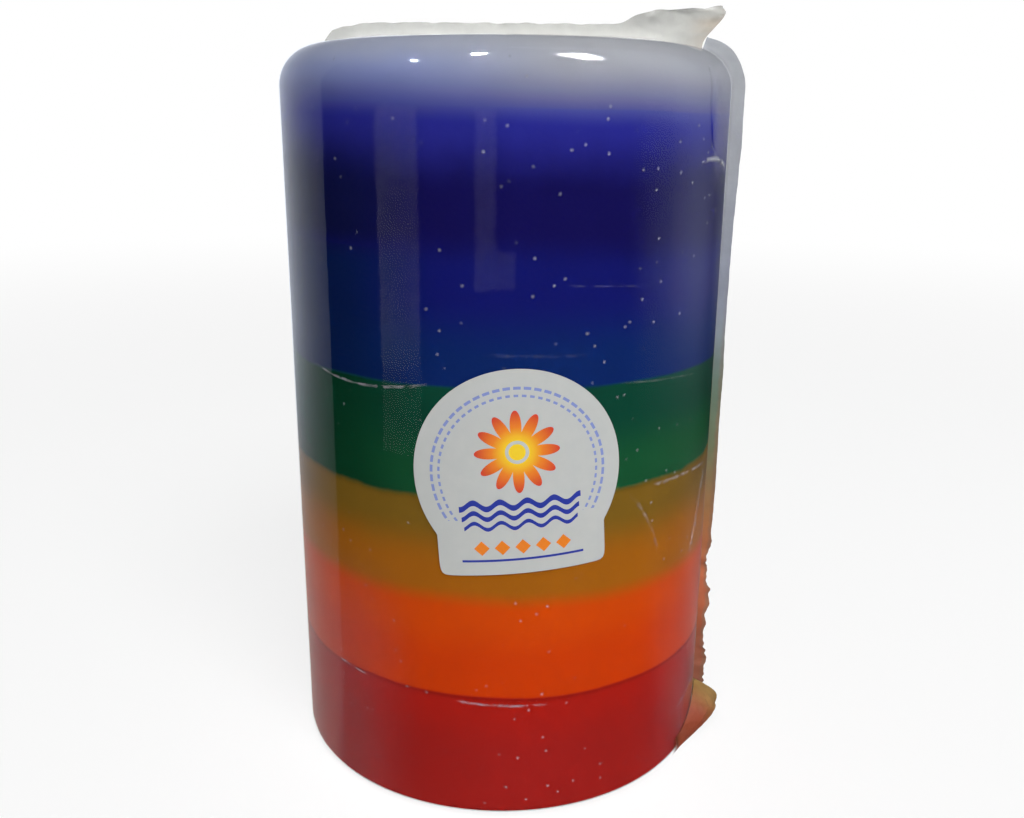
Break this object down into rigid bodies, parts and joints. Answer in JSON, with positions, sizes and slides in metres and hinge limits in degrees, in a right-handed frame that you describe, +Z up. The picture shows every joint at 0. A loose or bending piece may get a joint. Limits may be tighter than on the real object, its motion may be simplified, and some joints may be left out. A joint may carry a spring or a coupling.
{
  "type": "pillar candle",
  "caption": "Thick round pillar candle cast in coloured wax layers, with its wick and base sustainer, sealed in clear shrink film with a die-cut label.",
  "frame": {"origin": "middle of the round base, on the surface the candle stands on", "axes": "+Z up along the candle's axis; the label faces -Y; the film's seals lie in the plane y = 0 with their loose corners on +X"},
  "size_m": [0.1064, 0.1019, 0.1723],
  "materials": {
    "red_wax": "dyed paraffin wax, smooth from the mould, deep red",
    "orange_wax": "dyed paraffin wax, smooth from the mould, bright orange",
    "yellow_wax": "dyed paraffin wax, translucent amber yellow",
    "green_wax": "dyed paraffin wax, dark green",
    "blue_wax": "dyed paraffin wax, dark blue",
    "violet_wax": "dyed paraffin wax, deep blue violet",
    "white_wax": "undyed paraffin wax, milky white",
    "cotton": "flat braided cotton wick, waxed",
    "tinned_steel": "thin pressed tinned steel",
    "clear_film": "clear glossy heat-shrunk film, drawn tight with small creases",
    "welded_film": "the same film welded double, crumpled and milky, yellowed at the base corner",
    "label_paper": null
  },
  "bodies": {
    "root": {"red_wax_layer": "red_wax", "orange_wax_layer": "orange_wax", "yellow_wax_layer": "yellow_wax", "green_wax_layer": "green_wax", "blue_wax_layer": "blue_wax", "violet_wax_layer": "violet_wax", "white_wax_layer": "white_wax", "wick": "cotton", "wick_sustainer": "tinned_steel", "film_sleeve": "clear_film", "film_base": "clear_film", "film_top_seal": "welded_film", "film_side_seal": "welded_film", "film_base_tail": "welded_film", "label_sticker": "label_paper"}
  },
  "joints": []
}
